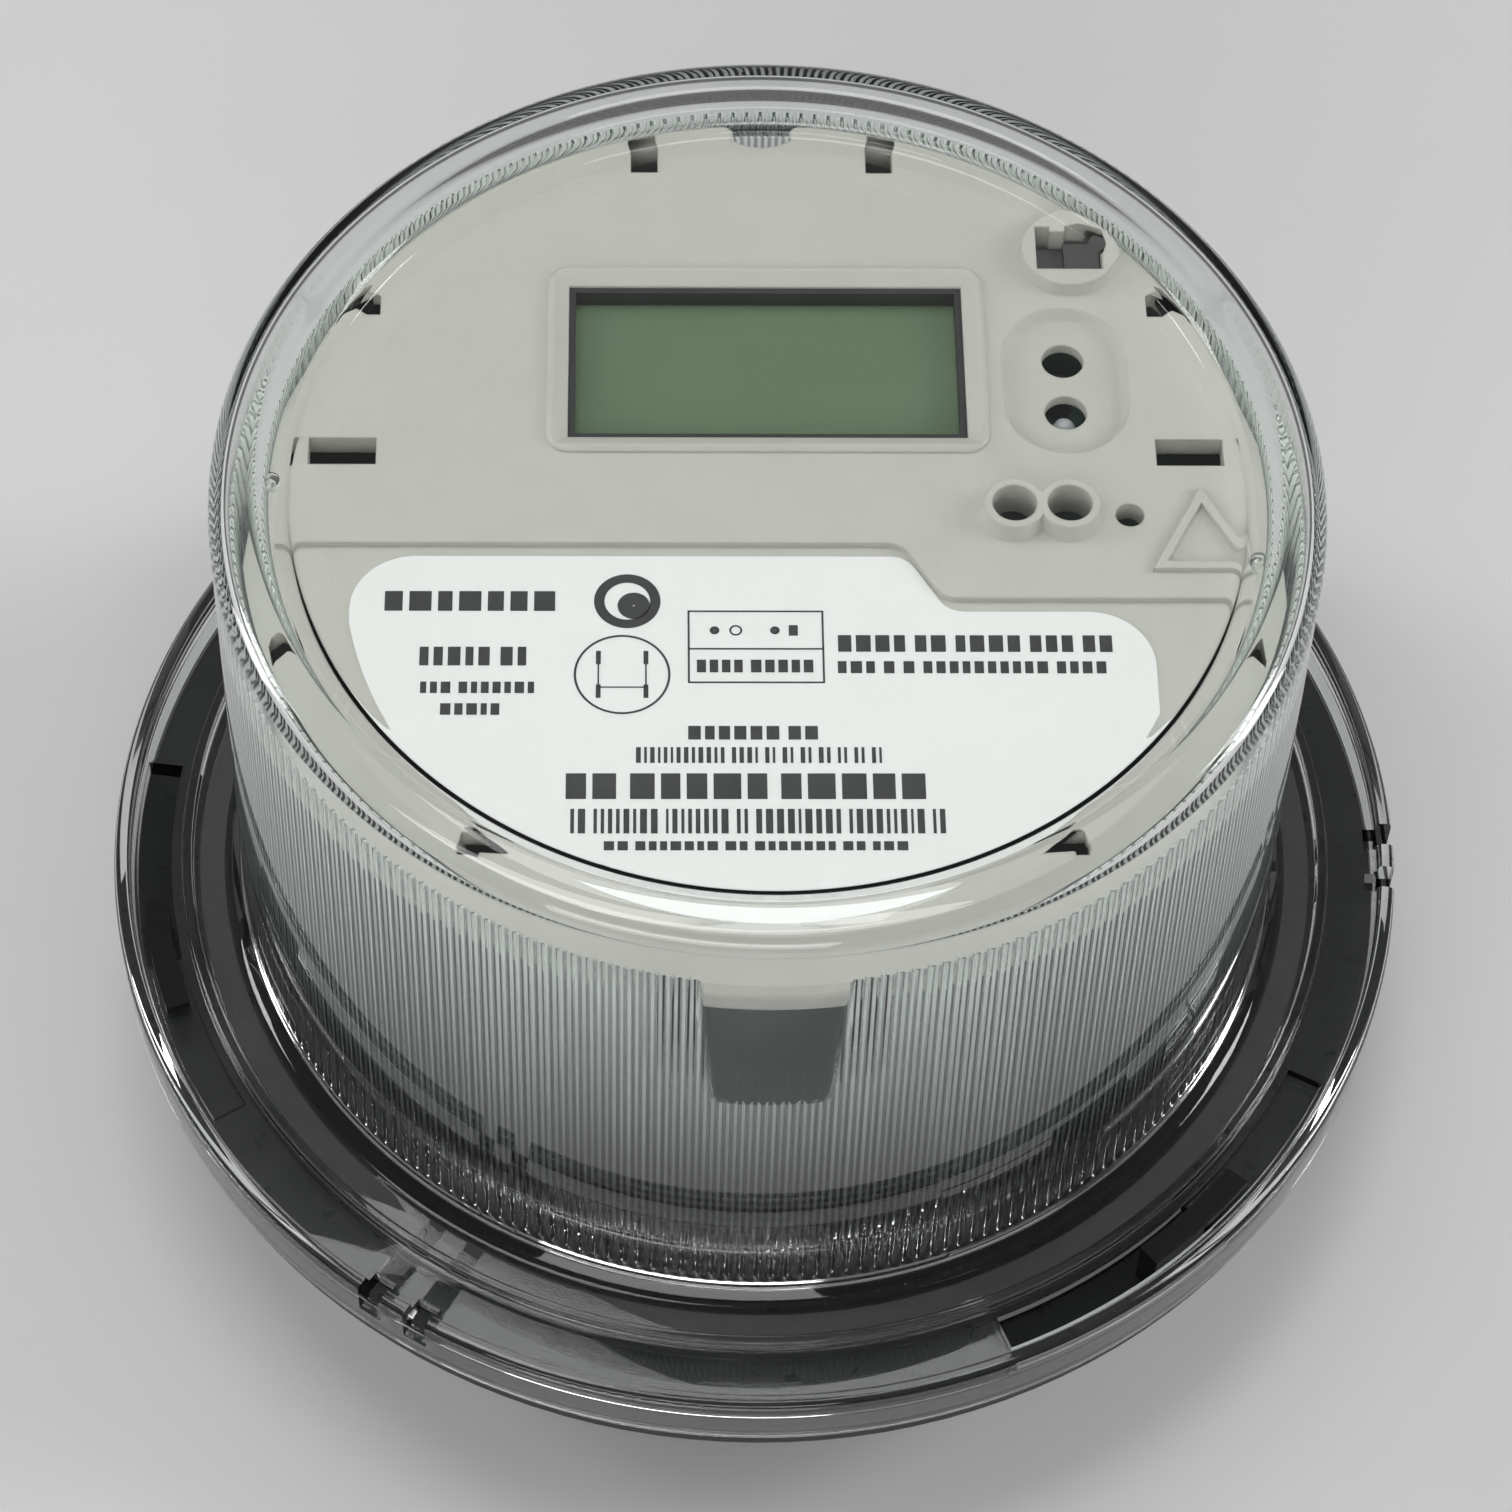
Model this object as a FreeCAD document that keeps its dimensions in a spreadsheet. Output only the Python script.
import FreeCAD, Part
import Sketcher
import math
import os

# Socket-mounted electricity meter, millimetres. It lies on its feet: +Z runs along the drum's axis towards
# the window, 12 o'clock is +Y and 3 o'clock is +X. The origin is on the drum's axis, at the tips of the feet.

SIZES = {
    # base moulding
    "foot_length": 26.0, "foot_width": 8.0, "foot_depth": 14.0, "foot_across": 56.0, "foot_up": 22.0,
    "foot_round": 1.6, "seat_ring_outer": 70.0, "seat_ring_wall": 1.8, "seat_ring_height": 4.0,
    "base_rim_inset": 0.85, "base_rim_height": 3.5, "base_floor": 4.0, "base_wall": 2.2,
    "base_wall_height": 22.0, "gasket_gap": 2.6, "gasket_width": 3.6, "gasket_rib": 1.2,
    "gasket_rib_height": 2.6, "edge_round": 0.8,
    # cover
    "flange_radius": 88.25, "flange_height": 12.5, "drum_radius": 70.6, "drum_taper": 1.4,
    "cover_height": 92.8, "cover_wall": 2.0, "cover_seat_gap": 0.2, "drum_gap": 2.0, "skirt_wall": 2.0,
    "band_depth": 1.5, "band_thickness": 3.0, "lip_width": 2.05, "ridge_width": 1.7, "ridge_offset": 1.3,
    "ridge_rise": 1.2, "shoulder_drop": 0.4, "shoulder_slope": 2.0, "side_slope": 0.2, "lip_round": 1.0,
    "window_thickness": 2.3, "rim_rise": 2.8, "rim_round": 3.4, "rim_inner": 63.4, "window_radius": 59.9,
    "rim_inner_round": 1.6, "rim_inset": 1.0,
    # bayonet slots, ledges and seal notches of the cover, and the hooks of the base
    "bayonet_count": 3, "slot_start": 172.0, "slot_sweep": 22.0, "slot_inset": 3.0, "slot_width": 4.8,
    "ledge_sweep": 18.0, "ledge_depth": 1.4, "hook_play": 0.8, "hook_end_play": 0.5, "hook_sweep": 6.0,
    "head_sweep": 12.0, "head_lift": 0.2, "notch_angle": 237.0, "notch_spread": 4.6, "notch_sweep": 2.2,
    "notch_inset": 4.0, "notch_drop": 5.5,
    # inner chassis
    "chassis_gap": 0.4, "chassis_wall": 1.8, "ledge_width": 3.7, "ledge_height": 2.0, "boss_radius": 4.0,
    "boss_height": 24.0, "boss_circle": 57.0, "boss_start": 90.0, "boss_pilot": 1.6, "plate_clearance": 0.3,
    # face plate
    "face_gap": 4.1, "plate_thickness": 2.2, "upper_step": 0.9, "plate_skirt_wall": 1.5, "skirt_depth": 9.1,
    "plate_flat_inset": 4.0, "plate_cone_drop": 6.5, "cone_wall_in": 0.4, "cone_wall_down": 0.42,
    "shoulder_round": 1.5, "step_line_up": 5.6, "step_low_up": 14.0, "step_turn_start": 16.5,
    "step_turn_end": 21.5, "step_round": 3.0, "lcd_centre_x": 0.2, "lcd_centre_y": 23.6,
    "lcd_opening_width": 50.6, "lcd_opening_height": 24.7, "lcd_frame_border": 2.75, "lcd_frame_rise": 0.8,
    "lcd_frame_round": 3.0, "lcd_frame_slope": 0.5, "lcd_funnel_width": 1.9, "lcd_funnel_drop": 0.4,
    "reset_x": 39.6, "reset_y": 40.7, "boss_room": 0.9, "reset_boss_radius": 7.4, "reset_boss_top": 6.2,
    "reset_boss_rise": 2.0, "reset_hole_width": 8.6, "reset_hole_height": 7.1, "reset_key_width": 2.0,
    "reset_key_depth": 0.8, "reset_key_shift": 1.4, "sensor_x": 38.2, "sensor_y": 20.4,
    "recess_width": 14.4, "recess_length": 22.0, "recess_depth": 1.5, "recess_slope": 0.85,
    "sensor_spread": 8.4, "sensor_hole": 2.7, "port_x": 34.1, "port_y": -1.1, "port_spread": 6.9,
    "port_base": 4.6, "port_top": 3.8, "port_rise": 2.4, "port_hole": 2.8, "test_x": 45.2, "test_y": -1.2,
    "test_hole": 1.8, "triangle_x": 54.2, "triangle_low": -10.0, "triangle_side": 13.4,
    "triangle_height": 12.8, "triangle_corner_inset": 1.9, "triangle_top_inset": 2.6, "triangle_line": 1.15,
    "triangle_rise": 0.8, "top_slot_in": 13.7, "top_slot_out": 17.2, "top_slot_low": 55.1,
    "top_slot_high": 60.0, "upper_slot_in": 49.3, "upper_slot_out": 54.4, "upper_slot_low": 30.8,
    "upper_slot_high": 35.0, "mid_slot_in": 49.1, "mid_slot_out": 57.6, "mid_slot_low": 6.6,
    "mid_slot_high": 10.8, "low_slot_in": 59.3, "low_slot_out": 61.3, "low_slot_low": -20.6,
    "low_slot_high": -17.4, "foot_slot_circle": 60.2, "foot_slot_angle": 34.8, "foot_slot_turn": 10.0,
    "foot_slot_length": 6.0, "foot_slot_width": 2.2, "notch_twelve": 6.5, "notch_twelve_low": 59.5,
    # nameplate label
    "label_radius": 52.4, "label_drop": 8.0, "label_thickness": 0.2, "label_top": 7.2,
    "label_low_top": 15.6, "label_turn_start": 17.0, "label_turn_end": 22.0, "label_left": 51.6,
    "label_right": 47.2, "label_round": 8.0, "label_turn_round": 3.4,
    # boards
    "board_thickness": 1.6, "board_edge_gap": 0.8, "board_depth": 10.0, "board_screw": 1.2,
    "board_screw_inset": 2.6, "board_screw_start": 100.0, "board_screw_length": 5.0,
    "board_screw_head": 2.4, "board_screw_head_height": 1.6, "screw_play": 0.05, "power_board_width": 92.0,
    "power_board_height": 80.0, "power_board_lift": 44.0, "pillar_radius": 3.0, "pillar_x": 43.0,
    "pillar_y": 34.0, "radio_board_width": 60.0, "radio_board_height": 30.0, "radio_board_y": -23.0,
    "radio_board_rise": 14.4, "radio_pillar_inset": 3.0, "radio_pillar_radius": 2.2,
    # display
    "glass_margin_x": 2.7, "glass_margin_y": 3.0, "glass_thickness": 2.6, "glass_gap": 0.1,
    "guide_inset": 2.0, "guide_inset_y": 3.4, "guide_gap": 0.3, "strip_width": 2.2, "strip_inset": 0.6,
    "strip_end_inset": 3.0, "mask_wall": 0.8, "mask_gap": 0.05, "mask_drop": 0.3, "holder_wall": 1.8,
    "holder_gap": 0.3, "holder_depth": 1.2,
    # lamps on the main board
    "lamp_radius": 1.5, "lamp_flange": 1.9, "lamp_flange_height": 1.0, "lamp_height": 6.0,
    "port_lamp_height": 7.4,
    # reset plunger
    "cap_play": 0.2, "cap_recess": 2.2, "cap_height": 5.6, "cap_step": 1.2, "cap_step_width": 3.6,
    "cap_lip": 1.0, "cap_lip_height": 1.0, "cap_lip_gap": 0.1, "stem_radius": 1.5, "stem_length": 1.9,
    "stem_x": 38.1, "stem_y": 39.0, "spring_radius": 2.3, "spring_wire": 0.2, "spring_turns": 3,
    "spring_gap": 0.15, "switch_width": 6.4, "switch_height": 1.6, "switch_dome": 1.3,
    "switch_dome_height": 0.3,
    # chips
    "chip_wide": 14.0, "chip_small": 10.0, "chip_height": 1.4, "chip_wide_x": -20.0, "chip_wide_y": -28.0,
    "chip_small_x": 14.0, "chip_small_y": -32.0,
    # blades and bars
    "blade_width": 19.0, "blade_thickness": 2.4, "blade_across": 36.5, "blade_up": 43.0,
    "blade_length": 23.0, "blade_rise": 15.0, "blade_tip": 2.0, "blade_slot_play": 0.3,
    "cotter_radius": 1.2, "cotter_drop": 1.4, "cotter_length": 9.0, "cotter_play": 0.05,
    "bar_thickness": 3.0, "bar_leg": 12.0, "bar_height": 10.0, "bar_lift": 1.0, "left_bar_rise": 23.0,
    "right_bar_rise": 13.0, "rivet_radius": 2.0, "rivet_head": 3.0, "rivet_head_height": 1.1,
    "rivet_lift": 5.5, "rivet_play": 0.02,
    # current sensor
    "sensor_core_outer": 13.6, "sensor_core_inner": 8.6, "sensor_core_length": 11.0,
    "sensor_case_outer": 15.2, "sensor_case_inner": 7.2, "sensor_case_length": 14.0,
    # power supply
    "transformer_x": 24.0, "transformer_y": 22.0, "core_width": 30.0, "core_depth": 13.0,
    "core_height": 24.0, "core_leg": 6.5, "winding_depth": 24.0, "winding_gap": 0.3, "can_x": -10.0,
    "can_y": 28.0, "can_radius": 7.0, "can_height": 20.0, "backup_x": -10.0, "backup_y": 8.0,
    "backup_radius": 5.2, "backup_height": 11.0, "disc_x": -27.0, "disc_y": 29.0, "disc_radius": 6.5,
    "disc_thickness": 4.2, "disc_spacing": 8.0, "choke_x": -34.0, "choke_y": 2.0, "choke_outer": 8.0,
    "choke_inner": 3.6, "choke_height": 7.0, "part_round": 0.8,
    # radio and board headers
    "shield_width": 26.0, "shield_height": 20.0, "shield_rise": 3.2, "shield_x": -12.0,
    "antenna_width": 22.0, "antenna_height": 16.0, "antenna_leg": 4.0, "antenna_rise": 6.0,
    "antenna_sheet": 0.5, "antenna_x": 16.0, "tall_header_x": 42.0, "tall_header_y": -8.0,
    "tall_header_width": 5.0, "tall_header_length": 26.0, "short_header_y": -34.0,
    "short_header_width": 5.0, "short_header_length": 20.0,
    # leads
    "lead_radius": 0.9, "lead_clear": 3.4, "lead_up": 27.0,
    # screws through the base
    "screw_shank": 1.55, "screw_clear": 2.0, "screw_length": 16.0, "screw_head": 3.4,
    "screw_head_height": 2.2, "screw_head_play": 0.4, "driver_width": 1.0, "driver_depth": 1.1,
}
LATERAL = (-1, 1)
EPSILON = 0.01
OVERCUT = 1.0
BEND_SHARE = 0.45
COIL_STEPS = 12

doc = FreeCAD.newDocument("meter")
nodes = []


class Size:
    """A length, angle or count that carries its value and the sheet expression that it comes from."""

    def __init__(self, value, text):
        self.value = value
        self.text = text

    def __add__(self, other):
        return Size(self.value + number(other), "({} + {})".format(self.text, words(other)))

    def __sub__(self, other):
        return Size(self.value - number(other), "({} - {})".format(self.text, words(other)))

    def __mul__(self, other):
        return Size(self.value * number(other), "({} * {})".format(self.text, words(other)))

    def __truediv__(self, other):
        return Size(self.value / number(other), "({} / {})".format(self.text, words(other)))

    def __neg__(self):
        return self * -1

    def __rsub__(self, other):
        return self * -1 + other

    def __rtruediv__(self, other):
        return Size(other / self.value, "({} / {})".format(other, self.text))

    __rmul__ = __mul__
    __radd__ = __add__


class Sheet:
    """The spreadsheet of driving sizes: each alias reads as an attribute."""

    def __init__(self, sizes):
        self.cells = doc.addObject("Spreadsheet::Sheet", "Sizes")
        self.values = sizes
        for row, (alias, value) in enumerate(sizes.items(), start=1):
            self.cells.set("A{}".format(row), alias)
            self.cells.set("B{}".format(row), str(value))
            self.cells.setAlias("B{}".format(row), alias)

    def __getattr__(self, alias):
        return Size(self.values[alias], "Sizes.{}".format(alias))


def number(quantity):
    return quantity.value if isinstance(quantity, Size) else quantity


def words(quantity):
    return quantity.text if isinstance(quantity, Size) else repr(quantity)


def polar(radius, angle):
    """The point at a radius and an angle in degrees, as two sizes."""
    turn = math.radians(number(angle))
    cosine = Size(math.cos(turn), "cos({} * 1 deg)".format(words(angle)))
    sine = Size(math.sin(turn), "sin({} * 1 deg)".format(words(angle)))
    return radius * cosine, radius * sine


size = Sheet(SIZES)
doc.recompute()


# ---------------------------------------------------------------- building blocks

def bind(thing, prop, quantity):
    """Set a property from a size, so that it follows the sheet."""
    thing.setExpression(prop, words(quantity))


def place(thing, x=0, y=0, z=0):
    for axis, quantity in (("x", x), ("y", y), ("z", z)):
        bind(thing, "Placement.Base." + axis, quantity)


def node(thing, label):
    """Name a finished sub-part: its label names its file."""
    thing.Label = label
    nodes.append(thing)
    return thing


def cylinder(name, radius, height, x=0, y=0, z=0, sweep=360):
    solid = doc.addObject("Part::Cylinder", name)
    bind(solid, "Radius", radius)
    bind(solid, "Height", height)
    bind(solid, "Angle", sweep)
    place(solid, x, y, z)
    return solid


def cone(name, low_radius, high_radius, height, x=0, y=0, z=0):
    solid = doc.addObject("Part::Cone", name)
    bind(solid, "Radius1", low_radius)
    bind(solid, "Radius2", high_radius)
    bind(solid, "Height", height)
    place(solid, x, y, z)
    return solid


def box(name, low, high):
    """A box between two corners."""
    solid = doc.addObject("Part::Box", name)
    for prop, start, end in zip(("Length", "Width", "Height"), low, high):
        bind(solid, prop, end - start)
    place(solid, *low)
    return solid


def centred_box(name, x, y, low, width, depth, height):
    return box(name, (x - width / 2, y - depth / 2, low), (x + width / 2, y + depth / 2, low + height))


def cut(name, base, *tools):
    solid = doc.addObject("Part::Cut", name)
    solid.Base = base
    solid.Tool = tools[0] if len(tools) == 1 else fuse(name + "_tools", *tools)
    return solid


def fuse(name, *pieces):
    solid = doc.addObject("Part::MultiFuse", name)
    solid.Shapes = list(pieces)
    solid.Refine = True
    return solid


def group(name, *pieces):
    """Separate like solids kept as one node."""
    solid = doc.addObject("Part::Compound", name)
    solid.Links = list(pieces)
    return solid


def ring(name, outer, inner, low, height, x=0, y=0):
    hole = cylinder(name + "_hole", inner, height + 2 * EPSILON, x, y, low - EPSILON)
    return cut(name, cylinder(name + "_disc", outer, height, x, y, low), hole)


def sector(name, outer, inner, low, height, start, sweep):
    """Part of a ring, from a start angle through a sweep."""
    wedge = cylinder(name + "_wedge", outer, height, z=low, sweep=sweep)
    turned = cut(name, wedge, cylinder(name + "_hole", inner, height + 2 * EPSILON, z=low - EPSILON))
    turned.Placement = FreeCAD.Placement(FreeCAD.Vector(), FreeCAD.Rotation(FreeCAD.Vector(0, 0, 1), 0))
    bind(turned, "Placement.Rotation.Angle", start)
    return turned


def lay(solid, x, y, z, axis, angle):
    """Turn a primitive about its own corner or centre, then place it."""
    solid.Placement = FreeCAD.Placement(FreeCAD.Vector(), FreeCAD.Rotation(axis, angle))
    place(solid, x, y, z)
    return solid


X_AXIS = FreeCAD.Vector(1, 0, 0)
Y_AXIS = FreeCAD.Vector(0, 1, 0)
Z_AXIS = FreeCAD.Vector(0, 0, 1)


def new_body(name):
    return doc.addObject("PartDesign::Body", name)


def sketch_on(body, name, role="XY_Plane", lift=0):
    plane = [feature for feature in body.Origin.OriginFeatures if feature.Role == role][0]
    sketch = body.newObject("Sketcher::SketchObject", name)
    sketch.AttachmentSupport = (plane, [""])
    sketch.MapMode = "FlatFace"
    bind(sketch, "AttachmentOffset.Base.z", lift)
    return sketch


def drive(sketch, kind, *where_and_size):
    """Add a dimension whose value follows a size."""
    where, quantity = where_and_size[:-1], where_and_size[-1]
    index = sketch.addConstraint(Sketcher.Constraint(kind, *where, number(quantity)))
    sketch.setExpression("Constraints[{}]".format(index), words(quantity))


def fix_point(sketch, line, end, x, y):
    """Hold one end of a line at a point, on an axis where the size is nought."""
    for kind, axis, quantity in (("DistanceX", -2, x), ("DistanceY", -1, y)):
        if isinstance(quantity, Size):
            drive(sketch, kind, -1, 1, line, end, quantity)
        else:
            sketch.addConstraint(Sketcher.Constraint("PointOnObject", line, end, axis))


def polygon(sketch, points):
    """A closed outline through points whose coordinates are sizes, or plain 0 on an axis."""
    first = sketch.GeometryCount
    corners = [FreeCAD.Vector(number(x), number(y), 0) for x, y in points]
    for start, end in zip(corners, corners[1:] + corners[:1]):
        sketch.addGeometry(Part.LineSegment(start, end), False)
    for step in range(len(points)):
        following = first + (step + 1) % len(points)
        sketch.addConstraint(Sketcher.Constraint("Coincident", first + step, 2, following, 1))
    for step, (x, y) in enumerate(points):
        fix_point(sketch, first + step, 1, x, y)


def rectangle(sketch, low_x, low_y, high_x, high_y):
    polygon(sketch, [(low_x, low_y), (high_x, low_y), (high_x, high_y), (low_x, high_y)])


def circle(sketch, x, y, radius):
    line = Part.Circle(FreeCAD.Vector(number(x), number(y), 0), Z_AXIS, number(radius))
    index = sketch.addGeometry(line, False)
    fix_point(sketch, index, 3, x, y)
    drive(sketch, "Radius", index, radius)


def revolve(body, sketch):
    feature = body.newObject("PartDesign::Revolution", sketch.Name + "_turned")
    feature.Profile = sketch
    feature.ReferenceAxis = (sketch, ["V_Axis"])
    feature.Angle = 360
    sketch.Visibility = False
    return feature


def pad(body, sketch, length, down=False):
    feature = body.newObject("PartDesign::Pad", sketch.Name + "_pad")
    feature.Profile = sketch
    bind(feature, "Length", length)
    feature.Reversed = down
    return feature


def pocket(body, sketch, depth):
    """Cut down from the sketch's plane."""
    feature = body.newObject("PartDesign::Pocket", sketch.Name + "_pocket")
    feature.Profile = sketch
    bind(feature, "Length", depth)
    return feature


def ease(body, radius, wanted, kind="Fillet"):
    """Round or bevel the edges of the last feature that a test picks out."""
    doc.recompute()
    base = body.Tip
    edges = ["Edge{}".format(i) for i, edge in enumerate(base.Shape.Edges, start=1) if wanted(edge)]
    feature = body.newObject("PartDesign::" + kind, "{}_{}_{}".format(body.Name, kind, len(body.Group)))
    feature.Base = (base, edges)
    bind(feature, "Radius" if kind == "Fillet" else "Size", radius)
    return feature


def is_ring(edge, *places):
    """Whether an edge is a circle about the drum's axis through one of the (radius, height) places."""
    if not isinstance(edge.Curve, Part.Circle):
        return False
    found = (edge.Curve.Radius, edge.Curve.Center.z)
    return any(abs(found[0] - number(r)) < EPSILON and abs(found[1] - number(z)) < EPSILON for r, z in places)


def is_upright(edge, *places):
    """Whether an edge is vertical, and at one of the (x, y) places if any are given."""
    start, end = edge.Vertexes[0].Point, edge.Vertexes[-1].Point
    if math.hypot(start.x - end.x, start.y - end.y) > EPSILON or abs(start.z - end.z) < EPSILON:
        return False
    near = [math.hypot(start.x - number(x), start.y - number(y)) < EPSILON for x, y in places]
    return any(near) or not places


# ---------------------------------------------------------------- levels and radii that pieces share

back = size.foot_length
rim_top = back + size.cover_height
window_top = rim_top - size.rim_rise
window_under = window_top - size.window_thickness
face = window_under - size.face_gap
upper_face = face + size.upper_step
plate_under = face - size.plate_thickness
board_top = face - size.board_depth
board_under = board_top - size.board_thickness
floor_top = back + size.base_floor
rim_level = back + size.base_rim_height
band_top = back + size.flange_height - size.band_depth
flange_under = band_top - size.band_thickness
base_wall_radius = size.drum_radius - size.cover_wall - size.drum_gap
chassis_radius = base_wall_radius - size.base_wall - size.chassis_gap
chassis_inner = chassis_radius - size.chassis_wall
plate_radius = chassis_radius + size.plate_clearance + size.plate_skirt_wall
plate_flat = plate_radius - size.plate_flat_inset
cone_low = face - size.plate_cone_drop
glass_top = plate_under - size.glass_gap
board_radius = chassis_inner - size.board_edge_gap
slot_outer = size.flange_radius - size.slot_inset
slot_inner = slot_outer - size.slot_width
power_top = back + size.power_board_lift + size.board_thickness
power_under = back + size.power_board_lift
radio_under = power_top + size.radio_board_rise
radio_top = radio_under + size.board_thickness


def bayonet_angles(start):
    step = 360 / size.bayonet_count
    return [start + step * turn for turn in range(SIZES["bayonet_count"])]


# ---------------------------------------------------------------- base

def make_meter_base():
    """Black moulded disc: rim, gasket groove, drum wall, feet, blade slots and three bayonet hooks."""
    body = new_body("base_moulding")
    outline = sketch_on(body, "base_outline", "XZ_Plane")
    rib_top = rim_level + size.gasket_rib_height
    gasket_inner = size.drum_radius + size.gasket_gap
    gasket_outer = gasket_inner + size.gasket_width
    ring_inner = size.seat_ring_outer - size.seat_ring_wall
    rim = size.flange_radius - size.base_rim_inset
    polygon(outline, [
        (0, back), (ring_inner, back), (ring_inner, back - size.seat_ring_height),
        (size.seat_ring_outer, back - size.seat_ring_height), (size.seat_ring_outer, back), (rim, back),
        (rim, rim_level), (gasket_outer + size.gasket_rib, rim_level),
        (gasket_outer + size.gasket_rib, rib_top), (gasket_outer, rib_top), (gasket_outer, rim_level),
        (gasket_inner, rim_level), (gasket_inner, rib_top), (gasket_inner - size.gasket_rib, rib_top),
        (gasket_inner - size.gasket_rib, rim_level),
        (base_wall_radius, rim_level), (base_wall_radius, back + size.base_wall_height),
        (base_wall_radius - size.base_wall, back + size.base_wall_height),
        (base_wall_radius - size.base_wall, floor_top), (0, floor_top)])
    revolve(body, outline)
    seat_edge = (size.seat_ring_outer, back - size.seat_ring_height)
    ease(body, size.edge_round, lambda edge: is_ring(edge, (rim, back), seat_edge))
    feet = sketch_on(body, "feet", lift=back)
    for side_x in LATERAL:
        for side_y in LATERAL:
            x, y = size.foot_across * side_x, size.foot_up * side_y
            rectangle(feet, x - size.foot_width / 2, y - size.foot_depth / 2,
                      x + size.foot_width / 2, y + size.foot_depth / 2)
    pad(body, feet, size.foot_length, down=True)
    ease(body, size.foot_round, lambda edge: is_upright(edge)
         and min(vertex.Point.z for vertex in edge.Vertexes) < number(back) - EPSILON)
    slots = sketch_on(body, "blade_slots", lift=floor_top)
    half_x = size.blade_thickness / 2 + size.blade_slot_play
    half_y = size.blade_width / 2 + size.blade_slot_play
    for side_x in LATERAL:
        for side_y in LATERAL:
            x, y = size.blade_across * side_x, size.blade_up * side_y
            rectangle(slots, x - half_x, y - half_y, x + half_x, y + half_y)
    pocket(body, slots, size.base_floor)
    seat_radius, seat_top = size.screw_head + size.screw_head_play, back + size.screw_head_height
    for name, radius, top in (("screw_holes", size.screw_clear, floor_top),
                              ("screw_seats", seat_radius, seat_top)):
        holes = sketch_on(body, name, lift=top)
        for angle in bayonet_angles(size.boss_start):
            circle(holes, *polar(size.boss_circle, angle), radius)
        pocket(body, holes, top - back)
    pieces = [body]
    post_outer, post_inner = slot_outer - size.hook_play, slot_inner + size.hook_play
    first = size.slot_start + size.slot_sweep - size.hook_end_play - size.hook_sweep
    head_low = band_top - size.ledge_depth + size.head_lift
    for turn, angle in enumerate(bayonet_angles(first)):
        pieces.append(sector("hook_post_{}".format(turn), post_outer, post_inner, rim_level - size.edge_round,
                             band_top - rim_level + size.edge_round, angle, size.hook_sweep))
        pieces.append(sector("hook_head_{}".format(turn), post_outer, post_inner, head_low,
                             band_top - head_low, angle, size.head_sweep))
    return node(fuse("base", *pieces), "meter_base")


def make_gasket():
    """Rubber ring in the base's groove, under the cover's flange."""
    inner = size.drum_radius + size.gasket_gap + EPSILON
    outer = size.drum_radius + size.gasket_gap + size.gasket_width - EPSILON
    height = flange_under - size.cover_seat_gap - rim_level
    return node(ring("gasket", outer, inner, rim_level, height), "base_gasket")


# ---------------------------------------------------------------- cover

def make_cover():
    """Clear drum with a raised rim round a flat window, and a flange with slots, ledges and seal notches."""
    body = new_body("cover_moulding")
    outline = sketch_on(body, "cover_outline", "XZ_Plane")
    skirt_low = rim_level + size.cover_seat_gap
    skirt_inner = size.flange_radius - size.skirt_wall
    top = back + size.flange_height
    lip_inner = size.flange_radius - size.lip_width
    ridge_outer = slot_inner - size.ridge_offset
    ridge_inner = ridge_outer - size.ridge_width
    ridge_top = band_top + size.ridge_rise
    shoulder = band_top - size.shoulder_drop
    rim_radius = size.drum_radius - size.drum_taper
    inner_roof = rim_top - size.window_thickness
    inner_rim = rim_radius - size.cover_wall
    slope = size.side_slope
    polygon(outline, [
        (skirt_inner, skirt_low), (size.flange_radius, skirt_low), (size.flange_radius, top),
        (lip_inner, top), (lip_inner - slope, band_top), (ridge_outer, band_top),
        (ridge_outer - slope, ridge_top), (ridge_inner + slope, ridge_top), (ridge_inner, shoulder),
        (size.drum_radius + size.shoulder_slope, shoulder), (size.drum_radius, shoulder + size.shoulder_slope),
        (rim_radius, rim_top), (size.rim_inner, rim_top),
        (size.window_radius, window_top), (0, window_top), (0, window_under),
        (size.window_radius - size.rim_inset, window_under), (size.rim_inner - size.rim_inset, inner_roof),
        (inner_rim, inner_roof),
        (size.drum_radius - size.cover_wall, flange_under), (skirt_inner, flange_under)])
    revolve(body, outline)
    ease(body, size.rim_round, lambda edge: is_ring(edge, (rim_radius, rim_top)))
    ease(body, size.rim_inner_round, lambda edge: is_ring(edge, (inner_rim, inner_roof)))
    ease(body, size.lip_round, lambda edge: is_ring(edge, (size.flange_radius, top)))
    window_edges = (size.rim_inner, rim_top), (size.window_radius, window_top)
    ease(body, size.edge_round, lambda edge: is_ring(edge, *window_edges))
    tools = []
    for turn, angle in enumerate(bayonet_angles(size.slot_start)):
        tools.append(sector("slot_{}".format(turn), slot_outer, slot_inner, flange_under - OVERCUT,
                            size.band_thickness + 2 * OVERCUT, angle, size.slot_sweep))
        tools.append(sector("ledge_{}".format(turn), slot_outer, slot_inner, band_top - size.ledge_depth,
                            size.ledge_depth + OVERCUT, angle + size.slot_sweep - EPSILON, size.ledge_sweep))
    for turn, angle in enumerate(bayonet_angles(size.notch_angle)):
        for side in LATERAL:
            start = angle + size.notch_spread * side / 2 - size.notch_sweep / 2
            tools.append(sector("notch_{}_{}".format(turn, side + 1), size.flange_radius + OVERCUT,
                                size.flange_radius - size.notch_inset, top - size.notch_drop,
                                size.notch_drop + OVERCUT, start, size.notch_sweep))
    return node(cut("cover", body, *tools), "outer_cover")


# ---------------------------------------------------------------- chassis and face plate

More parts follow.
